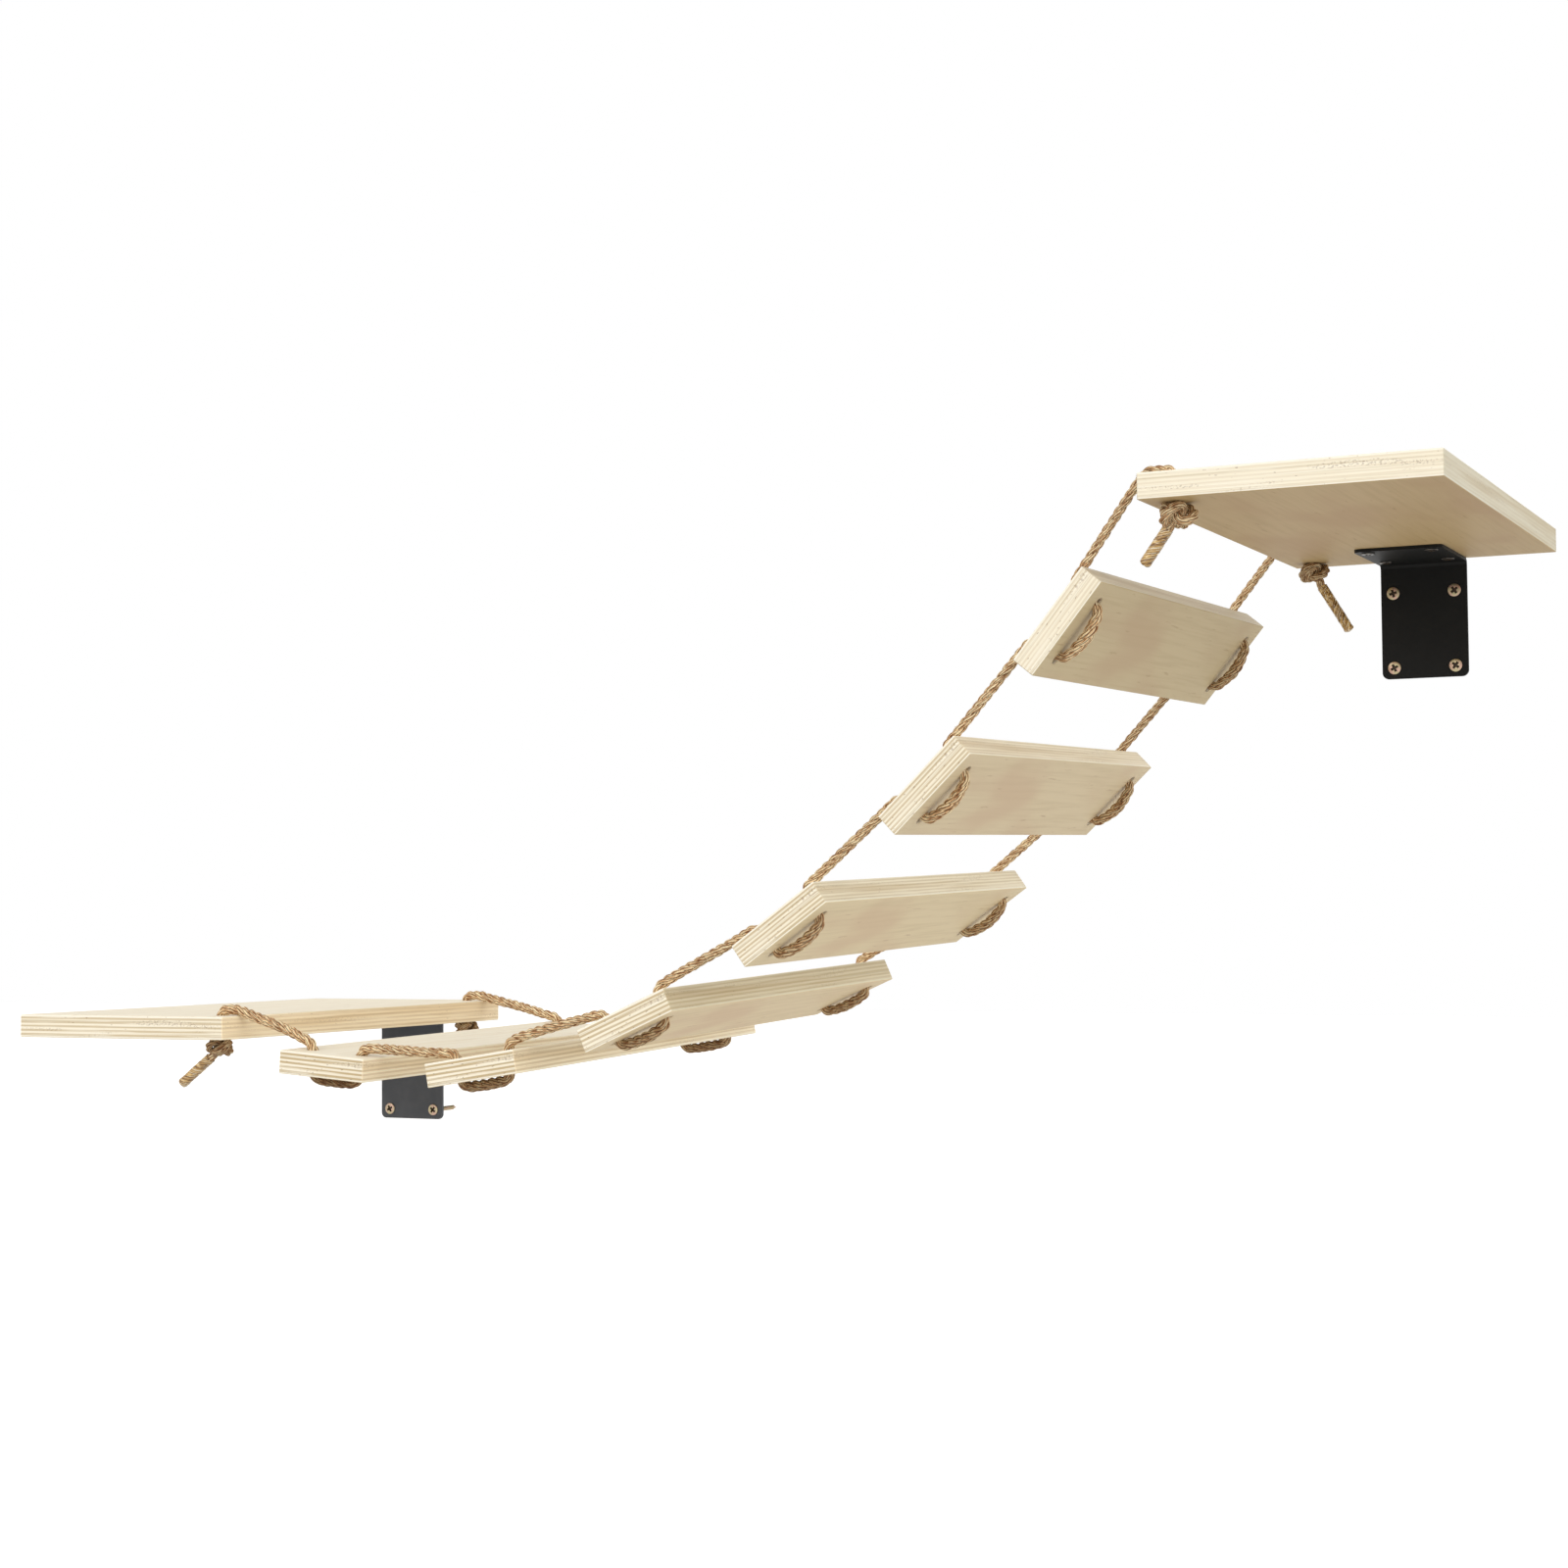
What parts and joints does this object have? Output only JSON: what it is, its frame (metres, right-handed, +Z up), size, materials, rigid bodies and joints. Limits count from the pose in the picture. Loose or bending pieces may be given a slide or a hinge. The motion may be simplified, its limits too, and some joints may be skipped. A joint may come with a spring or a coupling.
{
  "type": "pet wall bridge",
  "caption": "Sloping wall bridge: plywood treads hung on two ropes between a low and a raised platform on folded wall brackets.",
  "frame": {"origin": "centre of the lower bracket's four wall screws, on the wall's face", "axes": "+X along the wall towards the raised platform, +Y into the wall, +Z up"},
  "size_m": [1.14, 0.4355, 0.4797],
  "materials": {
    "plywood": "sanded, unvarnished many-ply birch with pale striped edges",
    "bracket_coat": "satin black powder coat",
    "yellow_screw": "dull yellow passivated cross-head screw",
    "dark_screw": "dark oiled cross-head screw",
    "jute": "three-strand twisted natural jute with loose fibres",
    "clear_tape": "clear glossy tape over the rope"
  },
  "bodies": {
    "wall_side": {"upper_platform": "plywood", "lower_platform": "plywood", "upper_bracket": "bracket_coat", "lower_bracket": "bracket_coat", "upper_wall_screws": "yellow_screw", "lower_wall_screws": "yellow_screw", "upper_shelf_screws": "dark_screw", "lower_shelf_screws": "dark_screw", "upper_front_knot": "jute", "upper_front_rope_end": "jute", "upper_front_tape": "clear_tape", "upper_back_knot": "jute", "upper_back_rope_end": "jute", "upper_back_tape": "clear_tape", "lower_front_knot": "jute", "lower_front_rope_end": "jute", "lower_front_tape": "clear_tape", "lower_back_knot": "jute", "lower_back_rope_end": "jute", "lower_back_tape": "clear_tape"},
    "bridge_ropes": {"rope_front": "jute", "rope_back": "jute"},
    "hanging_tread_1": {"tread_1": "plywood"},
    "hanging_tread_2": {"tread_2": "plywood"},
    "hanging_tread_3": {"tread_3": "plywood"},
    "hanging_tread_4": {"tread_4": "plywood"},
    "hanging_tread_5": {"tread_5": "plywood"},
    "hanging_tread_6": {"tread_6": "plywood"}
  },
  "joints": [
    {"name": "bridge_sway", "type": "slide", "parent": "wall_side", "child": "bridge_ropes", "axis": [-0.0552, -0.9921, 0.1126], "range_m": [0, 0.03], "deforming": ["rope_front", "rope_back"]},
    {"name": "tread_1_rock", "type": "hinge", "parent": "bridge_ropes", "child": "hanging_tread_1", "pos_m": [0.77428, -0.2, 0.35375], "axis": [0, 0.9998, 0.0174], "range_deg": [-8, 8], "deforming": ["rope_front", "rope_back"]},
    {"name": "tread_2_rock", "type": "hinge", "parent": "bridge_ropes", "child": "hanging_tread_2", "pos_m": [0.67734, -0.2, 0.24812], "axis": [0, 0.9997, 0.0227], "range_deg": [-8, 8], "deforming": ["rope_front", "rope_back"]},
    {"name": "tread_3_rock", "type": "hinge", "parent": "bridge_ropes", "child": "hanging_tread_3", "pos_m": [0.56671, -0.2, 0.1561], "axis": [0, 0.9995, 0.0314], "range_deg": [-8, 8], "deforming": ["rope_front", "rope_back"]},
    {"name": "tread_4_rock", "type": "hinge", "parent": "bridge_ropes", "child": "hanging_tread_4", "pos_m": [0.4435, -0.2, 0.0884], "axis": [0, 0.9995, 0.0332], "range_deg": [-8, 8], "deforming": ["rope_front", "rope_back"]},
    {"name": "tread_5_rock", "type": "hinge", "parent": "bridge_ropes", "child": "hanging_tread_5", "pos_m": [0.314, -0.2, 0.05173], "axis": [0, 0.9995, 0.0314], "range_deg": [-8, 8], "deforming": ["rope_front", "rope_back"]},
    {"name": "tread_6_rock", "type": "hinge", "parent": "bridge_ropes", "child": "hanging_tread_6", "pos_m": [0.1865, -0.2, 0.04847], "axis": [0.0279, 0.9995, 0.0174], "range_deg": [-8, 8], "deforming": ["rope_front", "rope_back"]}
  ]
}
